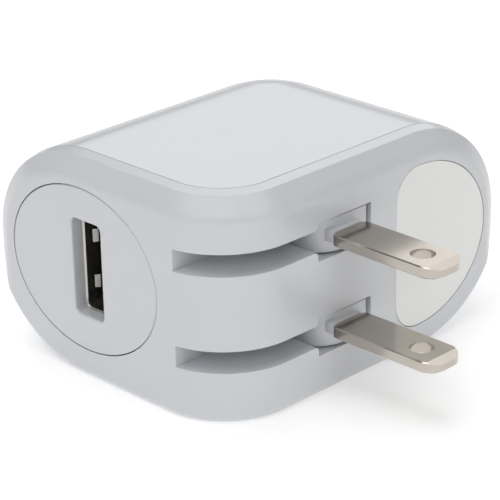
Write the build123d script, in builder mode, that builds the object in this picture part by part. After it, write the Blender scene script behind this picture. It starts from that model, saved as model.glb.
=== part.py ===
"""USB wall charger with two folding blades.

Millimetres, +Z up. The origin is the centre of the flat underside. The plug face, with
the blades and the rating label, faces +X. The USB face looks along -Y. The other two
sides are rounded over. At rest the blades stand out along +X, and they fold about one
upright axis until they lie in the two slots that wrap round the front corner.
"""
from build123d import *
import os

# Casing
body_width = 44.6  # along X
body_length = 53.0  # along Y
body_height = 30.5
end_depth = 17.0  # how far each rounded-over end runs in from its tip
corner_radius = 10.6  # upright corner between the USB face and the plug face
wall = 1.8  # rear shell
face_wall = 2.0  # behind the USB face and the plug face
seam_offset = 3.15  # from either face back to the joint between the shells
seam_gap = 0.12  # shadow line of the joint
lip_depth = 1.8  # the front shell's lip behind the joint
lip_wall = 1.0
lip_clearance = 0.05

x_face = body_width / 2
y_face = -body_length / 2
z_mid = body_height / 2
end_x = end_depth - x_face  # centre of the rounded end at -X
end_y = -y_face - end_depth  # centre of the rounded end at +Y

# Rim of the front shell: a narrow sloping strip, a crease, then a steeper band that dies out
# in the lower half of the rounded ends, where a small rounding takes its place
foot_radius = 1.1
band_depth = 1.85  # from the face back to the crease
band_drop = 3.0  # from the casing's side in to the flat of the face
strip_width = 1.3
strip_drop = 0.4  # measured down the band
band_radius = 3.5

# Blades and the slots that take them
blade_spacing = 12.7
blade_width = 6.35
blade_thickness = 1.5
blade_tip_x = 39.75
blade_hole_x = 35.25
blade_hole_radius = 1.6
blade_corner_radius = 2.3
blade_bevels = ((1, 1.3, 0.45), (-1, 0.4, 0.15))  # side, length, depth
blade_edge = 0.15  # broken edge along the long sides
blade_root_x = 22.85  # shoulders, just outside the carrier
blade_root_radius = 0.7
neck_width = 4.4
tail_width = 3.2
tail_end = 3.0  # from the hinge back to the end of the neck
hinge_x = 17.4
hinge_y = -5.05
drum_radius = 4.6
drum_gap = 0.3  # between a drum and the roof and floor of its pocket
drum_corner_radius = 0.5
drum_edge_radius = 0.2
collar_reach = blade_root_x - 0.02 - hinge_x
collar_size = (5.2, 1.8)
collar_radius = 0.3
slot_wall_x = 13.2
slot_spacing = 13.1
slot_height = 3.0
slot_skin = 1.1
slot_corner_radius = 0.6  # where a slot opens into its pocket
pocket_width = 9.8
pocket_above = 2.4  # from the middle of a slot
pocket_below = 2.85
pocket_rib = 0.9
shaft_radius = 2.5
trunnion_radius = 1.5
trunnion_clearance = 0.05
notch_radius = 0.9  # detent notches in the shaft
notch_depth = 0.4
notch_half = 2.2
blade_mid = z_mid - 0.25
blade_heights = [blade_mid - blade_spacing / 2, blade_mid + blade_spacing / 2]
slot_heights = [blade_mid - slot_spacing / 2, blade_mid + slot_spacing / 2]
blade_names = ["lower_blade", "upper_blade"]

# Bracket that carries the hinge
bracket_plate = 1.2
bracket_half = 11.9  # from the middle of the blades to the outside of each bearing plate
bracket_z = [blade_mid - bracket_half, blade_mid + bracket_half - bracket_plate]
bracket_x = 8.4
bracket_web = 1.2
tail_x = 11.35
contact_gap = 0.35

# USB face plate, port and label
plate_x = -3.7
plate_radii = (13.85, 11.3)
plate_gap = 0.14
plate_edge_radius = 0.15
flange_margin = 0.9
flange_thickness = 1.0
port_x = -2.93
port_z = z_mid + 0.2
port_size = (5.55, 13.35)
port_corner = 0.8
port_edge_radius = 0.3
port_lip = 1.9  # thickness of the plate in front of the metal shield
shield_size = (5.65, 13.45)
shield_wall = 0.3
shield_corner = 0.8
shield_flare = 0.2  # the shield's broken front edge
shield_clearance = 0.2
shield_length = 14.0
finger_width = 1.8
finger_pitch = 6.45
finger_start = 1.5  # behind the shield's front edge
finger_end = 7.6
finger_reaches = (0.55, 0.45)  # how far the fingers stand in, away from and beside the tongue
finger_slit = 0.15
finger_knee = 0.5  # from a finger's tip back to its bend
finger_lift = 0.45
contact_pitch = [-3.5, -1.0, 1.0, 3.5]
tongue_setback = 2.05
tongue_thickness = 1.6
label_y = 9.35
label_z = blade_mid - 0.15
label_radii = (13.2, 11.35)
label_edge_y = 4.85
label_corner = 4.2
label_thickness = 0.35
label_recess = 0.42
label_gap = 0.12

# Circuit board, which stands upright beside the port
board_thickness = 1.2
board_x = port_x - shield_size[0] / 2  # the face that carries the tall components
board_back_x = board_x - board_thickness
board_half_height = 12.3
board_front_y = y_face + 3.3
board_end_depth = 14.4

far = 60.0  # longer than the whole charger


# Shared shapes -------------------------------------------------------------------------


def casing_form(inset=0.0, face_inset=0.0):
    """The casing's outside, moved in by inset at its sides and by face_inset at its faces."""
    depth = end_depth - inset
    half = z_mid - inset
    right = x_face - face_inset
    front = y_face + face_inset
    centre = (end_x, z_mid)
    with BuildPart() as form:
        with BuildSketch(Plane.XZ.offset(-end_y)):
            with BuildLine():
                EllipticalCenterArc(centre, depth, half, start_angle=90, arc_size=180)
                Polyline(
                    (end_x, z_mid - half),
                    (right, z_mid - half),
                    (right, z_mid + half),
                    (end_x, z_mid + half),
                )
            make_face()
        extrude(amount=end_y - front)
        with BuildSketch(Plane.YZ.offset(end_x)):
            with BuildLine():
                EllipticalCenterArc((end_y, z_mid), depth, half, start_angle=-90, arc_size=180)
                Line((end_y, z_mid + half), (end_y, z_mid - half))
            make_face()
        extrude(amount=right - end_x)
        with BuildSketch(Plane.XZ.offset(-end_y)):
            with BuildLine():
                EllipticalCenterArc(centre, depth, half, start_angle=90, arc_size=180)
                Line((end_x, z_mid - half), (end_x, z_mid + half))
            make_face()
        revolve(axis=Axis((end_x, end_y, 0), (0, 0, -1)), revolution_arc=90)
        corner = form.edges().filter_by(Axis.Z).sort_by(Axis.Y)[0]
        fillet(corner, corner_radius - face_inset)
    return form.part


def behind(offset):
    """Everything further than offset behind the USB face and the plug face."""
    with BuildPart() as region:
        with BuildSketch(Plane.XY.offset(-far / 2)):
            with Locations((x_face - offset, y_face + offset)):
                Rectangle(2 * far, 2 * far, align=(Align.MAX, Align.MIN))
        extrude(amount=2 * far)
        corner = region.edges().filter_by(Axis.Z).sort_by(Axis.X)[-2:].sort_by(Axis.Y)[0]
        fillet(corner, corner_radius - offset)
    return region.part


def banded_casing():
    """The casing's outside with the strip, the crease and the band all round both faces."""
    with BuildPart() as form:
        add(casing_form())
        face = form.faces().sort_by(Axis.Y)[0]
        chamfer(face.edges().sort_by(Axis.Z)[-1], length=band_drop, length2=band_depth, reference=face)
        top = form.faces().filter_by(Axis.Z).sort_by(Axis.Z)[-1]
        chamfer(top.edges().sort_by(Axis.Y)[0], length=strip_width, length2=strip_drop, reference=top)
        face = form.faces().sort_by(Axis.Y)[0]
        fillet(face.edges().sort_by(Axis.Z)[-1], band_radius)
    return form.part


def rim_casing():
    """The banded form above, and below the middle the plain form within its waistline."""
    with BuildPart() as upper:
        add(banded_casing())
        split(bisect_by=Plane.XY.offset(z_mid), keep=Keep.TOP)
    waist = upper.faces().filter_by(Axis.Z).sort_by(Axis.Z)[0]
    with BuildPart() as lower:
        add(casing_form())
        face = lower.faces().sort_by(Axis.Y)[0]
        fillet(face.edges().sort_by(Axis.Z)[0], foot_radius)
        split(bisect_by=Plane.XY.offset(z_mid), keep=Keep.BOTTOM)
        extrude(waist, amount=far, dir=(0, 0, -1), mode=Mode.INTERSECT)
    with BuildPart() as form:
        add(upper.part)
        add(lower.part)
    return form.part


def block(low, high):
    """A box between two opposite corners."""
    with BuildPart() as brick:
        with Locations(tuple(low)):
            Box(*[b - a for a, b in zip(low, high)], align=(Align.MIN, Align.MIN, Align.MIN))
    return brick.part


def rod(radius, start, length, axis):
    """A round bar that starts at a point and runs along axis."""
    with BuildPart() as bar:
        with BuildSketch(Plane(origin=start, z_dir=axis)):
            Circle(radius)
        extrude(amount=length)
    return bar.part


def oval_plate(radii, front, thickness):
    """An oval plate that stands in the USB face, from front towards +Y."""
    with BuildPart() as plate:
        with BuildSketch(Plane.XZ.offset(-front)):
            with Locations((plate_x, z_mid)):
                Ellipse(*radii)
        extrude(amount=-thickness)
    return plate.part


def port_hole(size, corner, front, depth):
    """The upright rectangular hole of the port, from front towards +Y."""
    with BuildPart() as hole:
        with BuildSketch(Plane.XZ.offset(-front)):
            with Locations((port_x, port_z)):
                RectangleRounded(*size, corner)
        extrude(amount=-depth)
    return hole.part


def label_plate(grow, front, thickness):
    """The label's outline, half oval and half rounded rectangle, from front towards -X."""
    along, half = label_radii[0] + grow, label_radii[1] + grow
    edge = label_edge_y - grow
    bottom, top = label_z - half, label_z + half
    with BuildPart() as plate:
        with BuildSketch(Plane.YZ.offset(front)):
            with BuildLine():
                EllipticalCenterArc((label_y, label_z), along, half, start_angle=-90, arc_size=180)
                Line((label_y, top), (edge + label_corner, top))
                RadiusArc((edge + label_corner, top), (edge, top - label_corner), -label_corner)
                Line((edge, top - label_corner), (edge, bottom + label_corner))
                RadiusArc((edge, bottom + label_corner), (edge + label_corner, bottom), -label_corner)
                Line((edge + label_corner, bottom), (label_y, bottom))
            make_face()
        extrude(amount=-thickness)
    return plate.part


def lip_ring():
    """The front shell's side wall and the lip that reaches in behind the joint."""
    with BuildPart() as ring:
        add(casing_form(wall + lip_clearance, face_wall / 2))
        add(behind(seam_offset + lip_depth), mode=Mode.SUBTRACT)
    return ring.part


def channel_body(height):
    """The solid walls around one blade slot, kept inside the casing's outside."""
    low = (slot_wall_x - slot_skin, y_face, height - pocket_below)
    high = (x_face, pocket_edges[0], height + pocket_above)
    with BuildPart() as body:
        add(block(low, high))
        add(casing_form(0.6, 0.6), mode=Mode.INTERSECT)
    return body.part


def blade_slot(height):
    """The space for one blade: a corner slot that opens into the pocket for its drum."""
    slot_low, slot_high = height - slot_height / 2, height + slot_height / 2
    low, high = height - pocket_below, height + pocket_above
    with BuildPart() as space:
        add(block((slot_wall_x, -far, slot_low), (far, hinge_y, slot_high)))
        add(block((tail_x, pocket_edges[0], low), (far, pocket_edges[1], high)))
        mouth = space.edges().filter_by(Axis.X).group_by(Axis.Y)[1]
        fillet(mouth.filter_by_position(Axis.Z, slot_low - 0.1, slot_high + 0.1), slot_corner_radius)
    return space.part


def save(piece, name):
    """Labels a finished piece and writes its file."""
    piece.label = name
    export_step(piece, f"parts/{name}.step")


os.makedirs("parts", exist_ok=True)
pocket_edges = (hinge_y - pocket_width / 2, hinge_y + pocket_width / 2)

# Casing --------------------------------------------------------------------------------

# Front shell: the band that carries both faces, with the blade slots and the label recess
with BuildPart() as front_shell:
    add(rim_casing())
    add(behind(seam_offset), mode=Mode.SUBTRACT)
    add(lip_ring())
    add(casing_form(wall + lip_clearance + lip_wall, face_wall), mode=Mode.SUBTRACT)
    inside_x = x_face - face_wall
    for height in slot_heights:
        rib_low = (inside_x - pocket_rib, pocket_edges[1], height - pocket_below)
        rib_high = (inside_x, pocket_edges[1] + slot_skin, height + pocket_above)
        add(channel_body(height))
        add(block(rib_low, rib_high))
        add(blade_slot(height), mode=Mode.SUBTRACT)
    add(oval_plate([r + plate_gap for r in plate_radii], y_face, face_wall), mode=Mode.SUBTRACT)
    add(label_plate(label_gap, x_face, label_recess), mode=Mode.SUBTRACT)
save(front_shell.part, "front_shell")

# Rear shell: a cup, open towards the USB face and the plug face
with BuildPart() as rear_shell:
    add(casing_form())
    add(behind(seam_offset + seam_gap), mode=Mode.INTERSECT)
    add(casing_form(wall, face_wall), mode=Mode.SUBTRACT)
save(rear_shell.part, "rear_shell")

# Oval plate round the port, with a flange that bears on the inside of the front shell
with BuildPart() as usb_face_plate:
    add(oval_plate(plate_radii, y_face, face_wall))
    add(oval_plate([r + flange_margin for r in plate_radii], y_face + face_wall, flange_thickness))
    add(port_hole(port_size, port_corner, y_face, far), mode=Mode.SUBTRACT)
    rear_size = [side + shield_clearance for side in shield_size]
    add(port_hole(rear_size, port_corner, y_face + port_lip, far), mode=Mode.SUBTRACT)
    mouth = usb_face_plate.faces().sort_by(Axis.Y)[0].inner_wires()[0]
    fillet(mouth.edges(), port_edge_radius)
    rim = usb_face_plate.faces().sort_by(Axis.Y)[0].outer_wire()
    fillet(rim.edges(), plate_edge_radius)
save(usb_face_plate.part, "usb_face_plate")

# Blank rating label in its shallow recess
with BuildPart() as rating_label:
    add(label_plate(0, x_face - label_recess + label_thickness, label_thickness))
save(rating_label.part, "rating_label")

# USB port ------------------------------------------------------------------------------

shield_front = y_face + port_lip
shield_back = shield_front + shield_length
shield_inside = [side - 2 * shield_wall for side in shield_size]
shield_low_x = port_x - shield_size[0] / 2
shield_high_x = port_x + shield_size[0] / 2
finger_heights = [port_z - 0.1 - finger_pitch / 2, port_z - 0.1 + finger_pitch / 2]
finger_tip = shield_front + finger_start
finger_root = shield_front + finger_end


def finger(wall_x, inward, reach, height):
    """One sprung finger, bent in from a wide side of the shield at wall_x."""
    profile = [
        (wall_x, finger_root),
        (wall_x + inward * reach, finger_tip + finger_knee),
        (wall_x + inward * (reach - finger_lift), finger_tip),
        (wall_x + inward * (reach - finger_lift + shield_wall), finger_tip - 0.1),
        (wall_x + inward * (reach + shield_wall), finger_tip + finger_knee),
        (wall_x + inward * shield_wall, finger_root + 0.4),
        (wall_x, finger_root + 0.4),
    ]
    with BuildPart() as leaf:
        with BuildSketch(Plane.XY.offset(height - finger_width / 2)):
            with BuildLine():
                Polyline(*profile, close=True)
            make_face()
        extrude(amount=finger_width)
    return leaf.part


def finger_window(wall_x, inward, height):
    """The cut that frees a finger from the shield's wall."""
    half = finger_width / 2 + finger_slit
    side_x = sorted([wall_x - inward, wall_x + inward * (shield_wall + 0.1)])
    low = (side_x[0], finger_tip - 2 * finger_slit, height - half)
    return block(low, (side_x[1], finger_root, height + half))


# Folded steel shield with two sprung fingers on each wide side
with BuildPart() as usb_shield:
    add(port_hole(shield_size, shield_corner, shield_front, shield_length))
    inside_corner = shield_corner - shield_wall / 2
    add(port_hole(shield_inside, inside_corner, shield_front, shield_length), mode=Mode.SUBTRACT)
    opening = usb_shield.faces().sort_by(Axis.Y)[0].inner_wires()[0]
    chamfer(opening.edges(), shield_flare)
    for height in finger_heights:
        add(finger_window(shield_low_x, 1, height), mode=Mode.SUBTRACT)
        add(finger_window(shield_high_x, -1, height), mode=Mode.SUBTRACT)
        add(finger(shield_low_x, 1, finger_reaches[0], height))
        add(finger(shield_high_x, -1, finger_reaches[1], height))
save(usb_shield.part, "usb_shield")

tongue_x = port_x + 0.2
tongue_front = shield_front + tongue_setback
base_front = shield_back - 2.4

# Four contacts along the tongue, each with a leg down to the board
with BuildPart() as usb_contacts:
    for offset in contact_pitch:
        low_z, high_z = port_z + offset - 0.5, port_z + offset + 0.5
        add(block((tongue_x - 0.2, tongue_front + 0.6, low_z), (tongue_x, shield_back + 0.6, high_z)))
        add(block((board_x, shield_back + 0.3, low_z), (tongue_x, shield_back + 0.6, high_z)))
save(usb_contacts.part, "usb_contacts")

# Insulating tongue on its base block
with BuildPart() as usb_tongue:
    tongue_low = (tongue_x, tongue_front, port_z - 5.6)
    add(block(tongue_low, (tongue_x + tongue_thickness, base_front, port_z + 5.6)))
    base_low = (shield_low_x + shield_wall, base_front, port_z - shield_inside[1] / 2 + shield_corner)
    base_high = (shield_high_x - shield_wall, shield_back, port_z + shield_inside[1] / 2 - shield_corner)
    add(block(base_low, base_high))
    for offset in contact_pitch:
        low_z, high_z = port_z + offset - 0.5, port_z + offset + 0.5
        add(block((tongue_x - 0.2, base_front - 1, low_z), (tongue_x, far, high_z)), mode=Mode.SUBTRACT)
save(usb_tongue.part, "usb_tongue")

# Circuit board and what stands on it ---------------------------------------------------

with BuildPart() as circuit_board:
    with BuildSketch(Plane.YZ.offset(board_back_x)):
        with BuildLine():
            bottom, top = z_mid - board_half_height, z_mid + board_half_height
            radii = (board_end_depth, board_half_height)
            EllipticalCenterArc((end_y, z_mid), *radii, start_angle=-90, arc_size=180)
            Polyline((end_y, top), (board_front_y, top), (board_front_y, bottom), (end_y, bottom))
        make_face()
    extrude(amount=board_thickness)
save(circuit_board.part, "circuit_board")

# Transformer: a bobbin with its winding, inside a ferrite core in two halves
coil_y = 12.3
coil_x = 1.2
core_leg = (5.0, 4.0)  # section of the centre leg, X by Z
core_length, core_width, core_back, side_leg = 16.0, 16.4, 2.6, 2.4
window_length = core_length - 2 * core_back
tube_wall = 0.7
flange = 0.8
winding_size = (9.6, 8.6)

with BuildPart() as transformer_core:
    for side in (-1, 1):
        with BuildSketch(Plane.YZ.offset(coil_x - core_leg[0] / 2)):
            with BuildLine():
                half = core_width / 2
                Polyline(
                    (coil_y + side * 0.02, z_mid - half),
                    (coil_y + side * core_length / 2, z_mid - half),
                    (coil_y + side * core_length / 2, z_mid + half),
                    (coil_y + side * 0.02, z_mid + half),
                    (coil_y + side * 0.02, z_mid + half - side_leg),
                    (coil_y + side * window_length / 2, z_mid + half - side_leg),
                    (coil_y + side * window_length / 2, z_mid + core_leg[1] / 2),
                    (coil_y + side * 0.02, z_mid + core_leg[1] / 2),
                    (coil_y + side * 0.02, z_mid - core_leg[1] / 2),
                    (coil_y + side * window_length / 2, z_mid - core_leg[1] / 2),
                    (coil_y + side * window_length / 2, z_mid - half + side_leg),
                    (coil_y + side * 0.02, z_mid - half + side_leg),
                    close=True,
                )
            make_face()
        extrude(amount=core_leg[0])
save(transformer_core.part, "transformer_core")

tube = [core_leg[0] + 2 * tube_wall + 0.2, core_leg[1] + 2 * tube_wall + 0.2]
spool_half = window_length / 2 - 0.1

with BuildPart() as transformer_bobbin:
    with BuildSketch(Plane.XZ.offset(-(coil_y - spool_half))):
        with Locations((coil_x, z_mid)):
            Rectangle(*tube)
    extrude(amount=-2 * spool_half)
    for start in (coil_y - spool_half, coil_y + spool_half - flange):
        add(block((board_x, start, z_mid - 5.4), (coil_x + 5.6, start + flange, z_mid + 5.4)))
    with BuildSketch(Plane.XZ.offset(-(coil_y - spool_half))):
        with Locations((coil_x, z_mid)):
            Rectangle(core_leg[0] + 0.2, core_leg[1] + 0.2)
    extrude(amount=-2 * spool_half, mode=Mode.SUBTRACT)
save(transformer_bobbin.part, "transformer_bobbin")


def winding(size, bore, corner):
    """A wound coil between the bobbin's flanges."""
    start = coil_y - spool_half + flange
    with BuildPart() as coil:
        with BuildSketch(Plane.XZ.offset(-start)):
            with Locations((coil_x, z_mid)):
                RectangleRounded(*size, corner)
                Rectangle(*bore, mode=Mode.SUBTRACT)
        extrude(amount=-(2 * spool_half - 2 * flange))
    return coil.part


primary_size = [side + 1.6 for side in tube]
save(winding(primary_size, tube, 1.0), "primary_winding")
with BuildPart() as secondary_winding:
    add(winding(winding_size, [0.1, 0.1], 1.8))
    add(winding([side + 0.02 for side in primary_size], [0.1, 0.1], 1.0), mode=Mode.SUBTRACT)
    add(winding(tube, [0.1, 0.1], 0.1), mode=Mode.SUBTRACT)
save(secondary_winding.part, "secondary_winding")


def capacitor(radius, length, place):
    """An electrolytic capacitor: can with a crimped neck, lying along +X on the board."""
    y, z = place
    start = board_x + 0.4
    with BuildPart() as can:
        add(rod(radius, (start, y, z), 1.4, (1, 0, 0)))
        add(rod(radius - 0.3, (start + 1.4, y, z), 0.6, (1, 0, 0)))
        add(rod(radius, (start + 2.0, y, z), length - 2.0, (1, 0, 0)))
        fillet(can.edges().filter_by(GeomType.CIRCLE).sort_by(Axis.X)[-1], 0.5)
        for lead in (-1, 1):
            add(rod(0.3, (board_x, y, z + lead * radius / 2.6), 0.4, (1, 0, 0)))
    return can.part


input_places = [(0.4, z_mid - 8.4), (0.4, z_mid + 8.4)]
for number, place in enumerate(input_places, start=1):
    save(capacitor(3.5, 11.0, place), f"input_capacitor_{number}")
output_places = [(-17.2, z_mid - 10.1), (-17.2, z_mid + 10.1)]
for number, place in enumerate(output_places, start=1):
    save(capacitor(3.0, 10.5, place), f"output_capacitor_{number}")

# Disc capacitor across the isolation gap
with BuildPart() as safety_capacitor:
    add(rod(3.6, (-1.4, -1.2, z_mid), 3.0, (0, 1, 0)))
    fillet(safety_capacitor.edges().filter_by(GeomType.CIRCLE), 0.9)
    for lead in (-2.4, 2.4):
        add(rod(0.3, (board_x, 0.3, z_mid + lead), 2.6, (1, 0, 0)))
save(safety_capacitor.part, "safety_capacitor")

# Optocoupler with four bent legs
with BuildPart() as optocoupler:
    add(block((board_x + 0.6, -7.4, z_mid - 2.3), (board_x + 4.1, -3.0, z_mid + 2.3)))
    fillet(optocoupler.edges().filter_by(Axis.Z), 0.3)
    for leg_y in (-6.5, -3.9):
        for side in (-1, 1):
            edges = sorted([z_mid + side * 2.3, z_mid + side * 3.6])
            tips = sorted([z_mid + side * 3.3, z_mid + side * 3.6])
            add(block((board_x + 2.2, leg_y - 0.3, edges[0]), (board_x + 2.5, leg_y + 0.3, edges[1])))
            add(block((board_x, leg_y - 0.3, tips[0]), (board_x + 2.5, leg_y + 0.3, tips[1])))
save(optocoupler.part, "optocoupler")


def chip(centre, size, legs, pitch):
    """A flat package on the back of the board, with gull-wing legs along both long sides."""
    y, z = centre
    tall, along, across = size
    top = board_back_x - 0.15
    with BuildPart() as package:
        add(block((top - tall, y - along / 2, z - across / 2), (top, y + along / 2, z + across / 2)))
        fillet(package.edges().filter_by(Axis.Y).sort_by(Axis.X)[:2], 0.25)
        for index in range(legs):
            leg_y = y + (index - (legs - 1) / 2) * pitch
            for side in (-1, 1):
                edges = sorted([z + side * across / 2, z + side * (across / 2 + 1.0)])
                low = (top - tall / 2, leg_y - pitch / 6, edges[0])
                high = (top - tall / 2 + 0.25, leg_y + pitch / 6, edges[1])
                add(block(low, high))
                foot = sorted([z + side * (across / 2 + 0.75), z + side * (across / 2 + 1.0)])
                foot_low = (top - tall / 2, leg_y - pitch / 6, foot[0])
                add(block(foot_low, (board_back_x, leg_y + pitch / 6, foot[1])))
    return package.part


save(chip((5.0, z_mid), (1.5, 4.9, 3.9), 4, 1.27), "controller_chip")
save(chip((-3.6, z_mid - 7.1), (2.4, 4.7, 4.0), 2, 2.5), "bridge_rectifier")
save(chip((-14.6, z_mid - 6.5), (2.3, 6.0, 5.4), 1, 6.0), "output_diode")

# Fusible resistor, lying along Y on the back of the board
resistor_z = z_mid + 7.5
with BuildPart() as fusible_resistor:
    add(rod(1.6, (board_back_x - 2.0, 2.6, resistor_z), 8.4, (0, 1, 0)))
    fillet(fusible_resistor.edges().filter_by(GeomType.CIRCLE), 0.6)
    for start, bend in ((1.0, 1.3), (11.0, 12.3)):
        add(rod(0.35, (board_back_x - 2.0, start, resistor_z), 1.6, (0, 1, 0)))
        add(rod(0.35, (board_back_x - 2.35, bend, resistor_z), 2.35, (1, 0, 0)))
save(fusible_resistor.part, "fusible_resistor")

# Filter choke: ferrite drum with its winding
choke = (-13.6, z_mid + 5.1)
with BuildPart() as choke_core:
    add(rod(3.0, (board_back_x - 6.4, *choke), 1.0, (1, 0, 0)))
    add(rod(1.5, (board_back_x - 6.4, *choke), 6.4, (1, 0, 0)))
    add(rod(3.0, (board_back_x - 1.0, *choke), 1.0, (1, 0, 0)))
save(choke_core.part, "choke_core")
with BuildPart() as choke_winding:
    add(rod(2.6, (board_back_x - 5.4, *choke), 4.4, (1, 0, 0)))
    add(rod(1.5, (board_back_x - 5.4, *choke), 4.4, (1, 0, 0)), mode=Mode.SUBTRACT)
save(choke_winding.part, "choke_winding")

# Hinge and blades ----------------------------------------------------------------------

# Bracket inside the casing: a web with a bearing plate above and below the blades
with BuildPart() as hinge_bracket:
    web_low = (bracket_x, hinge_y - 2.2, bracket_z[0])
    web_high = (bracket_x + bracket_web, hinge_y + 3.6, bracket_z[1] + bracket_plate)
    add(block(web_low, web_high))
    for plate_z in bracket_z:
        low = (bracket_x, hinge_y - 4.2, plate_z)
        high = (x_face - face_wall, hinge_y + 4.2, plate_z + bracket_plate)
        add(block(low, high))
    for start in (bracket_z[0], bracket_z[1]):
        hole = (hinge_x, hinge_y, start)
        add(rod(trunnion_radius + trunnion_clearance, hole, bracket_plate, (0, 0, 1)), mode=Mode.SUBTRACT)
save(hinge_bracket.part, "hinge_bracket")


def blade(height):
    """One flat blade: tail, neck, shouldered body with its hole, and a rounded, bevelled tip."""
    low, high = height - blade_thickness / 2, height + blade_thickness / 2
    neck_x = hinge_x - tail_end
    outline = [
        (tail_x, tail_width / 2),
        (neck_x, tail_width / 2),
        (neck_x, neck_width / 2),
        (blade_root_x, neck_width / 2),
        (blade_root_x, blade_width / 2),
        (blade_tip_x, blade_width / 2),
    ]
    upper_side = [(x, hinge_y + y) for x, y in outline]
    lower_side = [(x, hinge_y - y) for x, y in reversed(outline)]
    profile = [(tail_x, low), (tail_x, high)]
    for side, length, depth in blade_bevels:
        skin = height + side * blade_thickness / 2
        bevel = [(blade_tip_x - length, skin), (blade_tip_x, skin - side * depth)]
        profile += bevel[::side]
    with BuildPart() as strip:
        with BuildSketch(Plane.XY.offset(low)):
            with BuildLine():
                Polyline(*upper_side, *lower_side, close=True)
            make_face()
        extrude(amount=blade_thickness)
        upright = strip.edges().filter_by(Axis.Z).sort_by(Axis.X)
        shoulders = upright.filter_by_position(Axis.X, blade_root_x - 0.1, blade_root_x + 0.1).sort_by(Axis.Y)
        fillet(upright[-2:], blade_corner_radius)
        fillet([shoulders[0], shoulders[-1]], blade_root_radius)
        long_sides = strip.edges().filter_by(Axis.X).filter_by(lambda edge: edge.length > blade_width)
        chamfer(long_sides, blade_edge)
        with BuildSketch(Plane.XZ.offset(-hinge_y)):
            with BuildLine():
                Polyline(*profile, close=True)
            make_face()
        extrude(amount=blade_width, both=True, mode=Mode.INTERSECT)
        add(rod(blade_hole_radius, (blade_hole_x, hinge_y, 0), far, (0, 0, 1)), mode=Mode.SUBTRACT)
    return strip.part


def drum(height, slot_z):
    """The drum that grips one blade: a squared corner, and a collar round the blade's neck."""
    low, high = slot_z - pocket_below + drum_gap, slot_z + pocket_above - drum_gap
    across, tall = collar_size
    with BuildPart() as grip:
        add(rod(drum_radius, (hinge_x, hinge_y, low), high - low, (0, 0, 1)))
        add(block((hinge_x, hinge_y, low), (hinge_x + drum_radius, hinge_y + drum_radius, high)))
        corner = grip.edges().filter_by(Axis.Z).sort_by(Axis.X)[-1]
        fillet(corner, drum_corner_radius)
        fillet(grip.faces().sort_by(Axis.Z)[-1].edges(), drum_edge_radius)
    with BuildPart() as collar:
        collar_low = (hinge_x, hinge_y - across / 2, height - tall / 2)
        add(block(collar_low, (hinge_x + collar_reach, hinge_y + across / 2, height + tall / 2)))
        fillet(collar.edges().filter_by(Axis.X), collar_radius)
    with BuildPart() as both:
        add(grip.part)
        add(collar.part)
    return both.part


# Moulded carrier: two drums that grip the blades, the shaft between them and two trunnions
with BuildPart() as prong_carrier:
    for height, slot_z in zip(blade_heights, slot_heights):
        add(drum(height, slot_z))
    add(rod(shaft_radius, (hinge_x, hinge_y, blade_heights[0]), blade_spacing, (0, 0, 1)))
    trunnion_low, trunnion_high = bracket_z[0] + 0.2, bracket_z[1] + bracket_plate - 0.2
    add(rod(trunnion_radius, (hinge_x, hinge_y, trunnion_low), trunnion_high - trunnion_low, (0, 0, 1)))
    notch_reach = shaft_radius + notch_radius - notch_depth
    for across, along in ((-1, 0), (0, 1)):
        notch = (hinge_x + across * notch_reach, hinge_y + along * notch_reach, z_mid - notch_half)
        add(rod(notch_radius, notch, 2 * notch_half, (0, 0, 1)), mode=Mode.SUBTRACT)
    for height in blade_heights:
        add(blade(height), mode=Mode.SUBTRACT)
save(prong_carrier.part, "prong_carrier")

for name, height in zip(blade_names, blade_heights):
    save(blade(height), name)


def contact_spring(height):
    """A bronze strip from the board that ends in a leaf facing one blade's tail."""
    low_z, high_z = height - 1.9, height + 1.9
    leaf_x = tail_x - contact_gap - 0.4
    arm_y = hinge_y - 3.7
    with BuildPart() as strip:
        add(block((board_x, arm_y, low_z), (leaf_x + 0.4, arm_y + 0.4, high_z)))
        add(block((leaf_x, arm_y, low_z), (leaf_x + 0.4, hinge_y + 1.6, high_z)))
        bend = strip.edges().filter_by(Axis.Z).sort_by(Axis.X)[-4:].sort_by(Axis.Y)[0]
        fillet(bend, 0.6)
    return strip.part


save(contact_spring(blade_heights[1]), "line_contact")
save(contact_spring(blade_heights[0]), "neutral_contact")

# Detent spring: a steel leaf with a raised rib that faces the notches in the shaft
spring_x = hinge_x - shaft_radius - 1.1
with BuildPart() as detent_spring:
    add(block((spring_x - 0.3, hinge_y - 2.0, z_mid - 3.2), (spring_x, hinge_y + 2.0, z_mid + 3.2)))
    add(block((bracket_x + bracket_web, hinge_y - 2.0, z_mid + 2.9), (spring_x, hinge_y + 2.0, z_mid + 3.2)))
    add(block((bracket_x + bracket_web, hinge_y - 2.0, z_mid - 3.2), (spring_x, hinge_y + 2.0, z_mid - 2.9)))
    add(rod(0.7, (spring_x, hinge_y, z_mid - 2.0), 4.0, (0, 0, 1)))
save(detent_spring.part, "detent_spring")
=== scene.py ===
"""Looks of the USB wall charger: materials, floor, lights and camera around the CAD frame.

Blender units are metres, in the CAD's own frame: the origin is the centre of the flat
underside, +X is out of the plug face and -Y is out of the USB face.
"""

import math

import bpy
from mathutils import Matrix, Vector


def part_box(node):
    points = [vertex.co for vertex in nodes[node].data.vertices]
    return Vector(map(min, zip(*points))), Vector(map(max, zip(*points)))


MM = 0.001

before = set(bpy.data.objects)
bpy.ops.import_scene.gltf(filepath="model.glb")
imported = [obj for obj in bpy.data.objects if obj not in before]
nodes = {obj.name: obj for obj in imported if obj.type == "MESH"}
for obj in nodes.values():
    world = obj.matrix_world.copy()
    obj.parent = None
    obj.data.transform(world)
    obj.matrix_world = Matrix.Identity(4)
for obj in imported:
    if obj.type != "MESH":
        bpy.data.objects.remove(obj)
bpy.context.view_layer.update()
table_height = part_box("rear_shell")[0].z


# Shader building -------------------------------------------------------------------------


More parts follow.
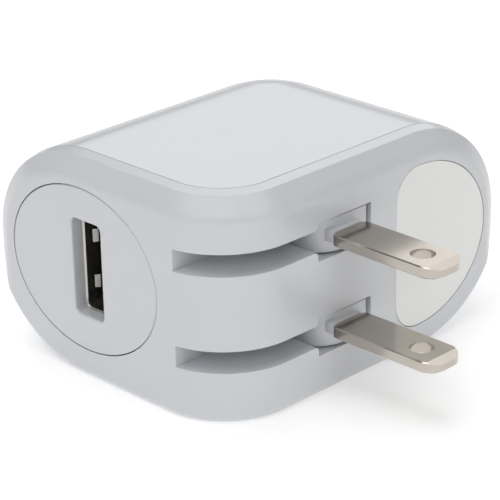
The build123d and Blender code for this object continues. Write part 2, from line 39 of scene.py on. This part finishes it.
class Shader:
    """A material under construction: a Principled shader and the nodes that feed it."""

    def __init__(self, name, **sockets):
        self.material = bpy.data.materials.new(name)
        self.material.use_nodes = True
        self.tree = self.material.node_tree
        self.surface = self.tree.nodes["Principled BSDF"]
        for socket, value in sockets.items():
            self.surface.inputs[socket.replace("_", " ")].default_value = value

    def node(self, kind, inputs=(), **settings):
        """Adds a node, sets its options and fills its inputs with values or other sockets."""
        made = self.tree.nodes.new(kind)
        for setting, value in settings.items():
            setattr(made, setting, value)
        for socket, value in dict(inputs).items():
            if isinstance(value, bpy.types.NodeSocket):
                self.tree.links.new(value, made.inputs[socket])
            else:
                made.inputs[socket].default_value = value
        return made

    def place(self, scale=(1, 1, 1)):
        """Object coordinates, stretched by scale."""
        coordinates = self.node("ShaderNodeTexCoord").outputs["Object"]
        return self.node("ShaderNodeMapping", {"Vector": coordinates, "Scale": scale}).outputs["Vector"]

    def noise(self, size, detail=3.0, scale=(1, 1, 1), roughness=0.5):
        """Noise whose grain is size metres across."""
        inputs = {"Vector": self.place(scale), "Scale": 1 / size, "Detail": detail, "Roughness": roughness}
        return self.node("ShaderNodeTexNoise", inputs).outputs["Fac"]

    def remap(self, factor, low, high, source=(0.3, 0.7)):
        """Maps a factor from source to the range low to high."""
        inputs = {"Value": factor, 1: source[0], 2: source[1], 3: low, 4: high}
        return self.node("ShaderNodeMapRange", inputs).outputs["Result"]

    def mix(self, factor, first, second):
        """Blends two colours."""
        inputs = {0: factor, 6: first, 7: second}
        return self.node("ShaderNodeMix", inputs, data_type="RGBA").outputs[2]

    def feed(self, socket, value):
        """Connects a socket to the Principled shader."""
        self.tree.links.new(value, self.surface.inputs[socket])

    def facing(self, axis, low, high):
        """1 where the surface faces along an object axis, 0 elsewhere."""
        normal = self.node("ShaderNodeNewGeometry").outputs["Normal"]
        parts = self.node("ShaderNodeSeparateXYZ", {"Vector": normal})
        return self.remap(parts.outputs[axis], 0, 1, (low, high))

    def wave(self, period, direction, distortion=0.0):
        """Bands, period metres apart along an axis."""
        inputs = {"Vector": self.place(), "Scale": math.pi / (10 * period), "Distortion": distortion}
        made = self.node("ShaderNodeTexWave", inputs, bands_direction=direction)
        return made.outputs["Fac"]

    def bump(self, height, depth):
        """Raises the surface by height times depth metres."""
        inputs = {"Height": height, "Distance": depth, "Strength": 1.0}
        return self.node("ShaderNodeBump", inputs).outputs["Normal"]


def surface(name, colour, roughness, grain=0.0004, depth=0.000002, stretch=(1, 1, 1), vary=0.06, **sockets):
    """A material with mottled colour, uneven roughness and a fine relief; vary sets how uneven."""
    shader = Shader(name, **sockets)
    deeper = [c * (1 - vary) for c in colour]
    blotch = shader.remap(shader.noise(grain * 20, 3.0, stretch), 0, 1)
    shader.feed("Base Color", shader.mix(blotch, (*deeper, 1), (*colour, 1)))
    wear = shader.noise(grain * 6, 5.0, stretch, 0.65)
    shader.feed("Roughness", shader.remap(wear, roughness * (1 - 2 * vary), roughness * (1 + 3 * vary)))
    shader.feed("Normal", shader.bump(shader.noise(grain, 2.0, stretch), depth))
    return shader


def moulded_plastic(name, colour, roughness, coat=0.25):
    """Glossy moulded plastic: slight mottling, fine orange peel and uneven gloss."""
    sockets = {"IOR": 1.5, "Coat_Weight": coat, "Coat_Roughness": 0.12}
    return surface(name, colour, roughness, 0.0005, 0.0000008, vary=0.008, **sockets)


def metal(name, colour, roughness, grain, depth, stretch=(1, 1, 1)):
    """Bare or plated metal with a drawn grain along the axis that stretch shortens."""
    return surface(name, colour, roughness, grain, depth, stretch, 0.1, Metallic=1.0)


def wound(name, colour, period, direction):
    """Turns of wire side by side."""
    shader = Shader(name, Coat_Weight=0.4, Coat_Roughness=0.15, Metallic=0.6)
    turns = shader.wave(period, direction, 0.2)
    darker = [c * 0.35 for c in colour]
    shader.feed("Base Color", shader.mix(turns, (*darker, 1), (*colour, 1)))
    shader.feed("Roughness", shader.remap(shader.noise(0.0006), 0.3, 0.42))
    shader.feed("Normal", shader.bump(turns, period * 0.3))
    return shader


TRACK_PITCH = 0.0032  # between tracks on the board
SLEEVE_BLACK = (0.02, 0.022, 0.035)
LACQUER = (0.1, 0.28, 0.34)
BAND_PITCH = 0.0021  # between a resistor's bands


def solder_mask():
    """Green lacquer over tracks, which show as a paler, slightly raised net."""
    shader = Shader("solder_mask", Coat_Weight=0.3, Coat_Roughness=0.1)
    inputs = {"Vector": shader.place((1, 1, 0.45)), "Scale": 1 / TRACK_PITCH, "Randomness": 0.75}
    cells = shader.node("ShaderNodeTexVoronoi", inputs, feature="DISTANCE_TO_EDGE").outputs["Distance"]
    track = shader.remap(cells, 1, 0, (0.09, 0.14))
    shader.feed("Base Color", shader.mix(track, (0.004, 0.035, 0.014, 1), (0.012, 0.08, 0.03, 1)))
    shader.feed("Roughness", shader.remap(shader.noise(0.0009, 4.0), 0.32, 0.45))
    shader.feed("Normal", shader.bump(track, 0.00003))
    return shader


def sleeve():
    """A capacitor's dark shrink sleeve with its pale stripe, and the bare end of the can."""
    shader = surface("capacitor_sleeve", SLEEVE_BLACK, 0.35, 0.0005, 0.000003)
    stripe = shader.facing("Z", 0.86, 0.9)
    marked = shader.mix(stripe, (*SLEEVE_BLACK, 1), (0.55, 0.56, 0.58, 1))
    can_end = shader.facing("X", 0.9, 0.94)
    shader.feed("Base Color", shader.mix(can_end, marked, (0.6, 0.61, 0.62, 1)))
    return shader


def banded_lacquer():
    """A resistor's blue-green lacquer with brown bands."""
    shader = surface("resistor_lacquer", LACQUER, 0.3, 0.0006, 0.000004)
    bands = shader.remap(shader.wave(BAND_PITCH, "Y"), 0, 1, (0.8, 0.86))
    shader.feed("Base Color", shader.mix(bands, (*LACQUER, 1), (0.09, 0.035, 0.015, 1)))
    return shader


def assign(shader, *names):
    """Gives CAD nodes a material."""
    for name in names:
        mesh = nodes[name].data
        mesh.materials.clear()
        mesh.materials.append(shader.material)


SHELL_WHITE = (0.66, 0.673, 0.698)
COPPER = (0.62, 0.22, 0.08)
NICKEL = (0.55, 0.505, 0.45)
DRAWN = (0.04, 1, 1)  # grain along X

assign(moulded_plastic("shell_plastic", SHELL_WHITE, 0.3), "front_shell", "rear_shell")
assign(moulded_plastic("plate_plastic", SHELL_WHITE, 0.26), "usb_face_plate")
assign(moulded_plastic("carrier_plastic", SHELL_WHITE, 0.4, 0.1), "prong_carrier")
assign(surface("label_film", (0.88, 0.89, 0.865), 0.55, 0.0005, 0.000004, vary=0.015), "rating_label")
assign(metal("nickel_plate", NICKEL, 0.15, 0.00025, 0.0000007, DRAWN), "upper_blade", "lower_blade")
assign(metal("shield_steel", (0.56, 0.54, 0.5), 0.3, 0.0003, 0.000002, (1, 0.1, 1)), "usb_shield")
assign(surface("black_insulator", (0.014, 0.012, 0.011), 0.5, 0.0004, 0.000004), "usb_tongue")
assign(metal("contact_gold", (0.83, 0.6, 0.26), 0.25, 0.0002, 0.000001, (1, 0.1, 1)), "usb_contacts")
bronze = metal("spring_bronze", (0.66, 0.4, 0.2), 0.35, 0.0003, 0.000002, DRAWN)
assign(bronze, "line_contact", "neutral_contact")
assign(metal("spring_steel", (0.5, 0.51, 0.53), 0.28, 0.0003, 0.000002, (1, 1, 0.1)), "detent_spring")
assign(solder_mask(), "circuit_board")
assign(surface("ferrite", (0.05, 0.048, 0.052), 0.6, 0.0003, 0.00001), "transformer_core", "choke_core")
assign(surface("phenolic", (0.02, 0.018, 0.017), 0.45, 0.0005, 0.000005), "transformer_bobbin")
assign(wound("transformer_wire", COPPER, 0.0003, "Y"), "primary_winding")
assign(surface("winding_tape", (0.66, 0.42, 0.04), 0.35, 0.0006, 0.00001, (0.2, 1, 1)), "secondary_winding")
assign(wound("choke_wire", COPPER, 0.0005, "X"), "choke_winding")
capacitors = [f"{side}_capacitor_{number}" for side in ("input", "output") for number in (1, 2)]
assign(sleeve(), *capacitors)
assign(surface("disc_ceramic", (0.03, 0.1, 0.36), 0.3, 0.0005, 0.000008, Coat_Weight=0.3), "safety_capacitor")
packages = ("optocoupler", "controller_chip", "bridge_rectifier", "output_diode")
assign(surface("moulding_compound", (0.018, 0.018, 0.02), 0.55, 0.00025, 0.000006), *packages)
assign(banded_lacquer(), "fusible_resistor")
assign(surface("bracket_nylon", (0.6, 0.61, 0.58), 0.5, 0.0005, 0.000005), "hinge_bracket")


# Floor -----------------------------------------------------------------------------------

FLOOR_SIZE = 6
FLOOR_GLOW = 0.29  # radiance of the floor itself


def floor():
    """A large pale floor just under the charger."""
    bpy.ops.mesh.primitive_plane_add(size=FLOOR_SIZE, location=(0, 0, table_height))
    plane = bpy.context.object
    plane.name = "floor"
    shader = surface("floor_white", (0.9, 0.9, 0.9), 0.6, 0.004, 0.00001, vary=0.01)
    shader.surface.inputs["Emission Color"].default_value = (1, 1, 1, 1)
    shader.surface.inputs["Emission Strength"].default_value = FLOOR_GLOW
    plane.data.materials.append(shader.material)


floor()


# Camera and lights -----------------------------------------------------------------------

CAMERA_TARGET = Vector((5.831, -5.692, 14.226)) * MM
CAMERA_DISTANCE = 290.57 * MM
CAMERA_LENS = 158.4
LAMP_TARGET = Vector((0, 0, 15)) * MM
STUDIO_GLOW = 0.12  # radiance of the studio walls


def look_from(target, azimuth, elevation, distance, roll=0.0):
    """A camera or light matrix: it stands off target and faces it. Angles in degrees."""
    a, e, r = math.radians(azimuth), math.radians(elevation), math.radians(roll)
    back = Vector((math.sin(a) * math.cos(e), -math.cos(a) * math.cos(e), math.sin(e)))
    right = Vector((math.cos(a), math.sin(a), 0))
    up = back.cross(right)
    turned_right = right * math.cos(r) - up * math.sin(r)
    turned_up = up * math.cos(r) + right * math.sin(r)
    matrix = Matrix((turned_right, turned_up, back)).transposed().to_4x4()
    matrix.translation = target + back * distance
    return matrix


def camera():
    """The camera, a long way off at a front corner and a little above the charger."""
    data = bpy.data.cameras.new("camera")
    data.lens = CAMERA_LENS
    data.clip_start = 0.01
    made = bpy.data.objects.new("camera", data)
    made.matrix_world = look_from(CAMERA_TARGET, 45.43, 23.3, CAMERA_DISTANCE, 1.149)
    bpy.context.collection.objects.link(made)
    bpy.context.scene.camera = made


def softbox(name, azimuth, elevation, distance, size, power):
    """A rectangular lamp that faces the charger. Metres, degrees and watts."""
    data = bpy.data.lights.new(name, "AREA")
    data.shape = "RECTANGLE"
    data.size, data.size_y = size
    data.energy = power
    made = bpy.data.objects.new(name, data)
    made.matrix_world = look_from(LAMP_TARGET, azimuth, elevation, distance)
    bpy.context.collection.objects.link(made)


def studio():
    """Even, faint white light from all round."""
    world = bpy.data.worlds.new("studio")
    world.use_nodes = True
    background = world.node_tree.nodes["Background"]
    background.inputs["Color"].default_value = (1, 1, 1, 1)
    background.inputs["Strength"].default_value = STUDIO_GLOW
    bpy.context.scene.world = world


camera()
studio()
softbox("overhead", -20, 80, 0.9, (0.9, 0.9), 5.15)
softbox("sweep", 214, 34, 1.3, (1.0, 1.2), 4.6)
softbox("right", 95, 30, 0.9, (0.6, 0.6), 1.3)
softbox("usb_side", 0, 30, 0.9, (0.6, 0.6), 0.95)
softbox("front", 45, 35, 1.1, (0.6, 0.5), 1.25)
bpy.context.scene.view_settings.view_transform = "Standard"
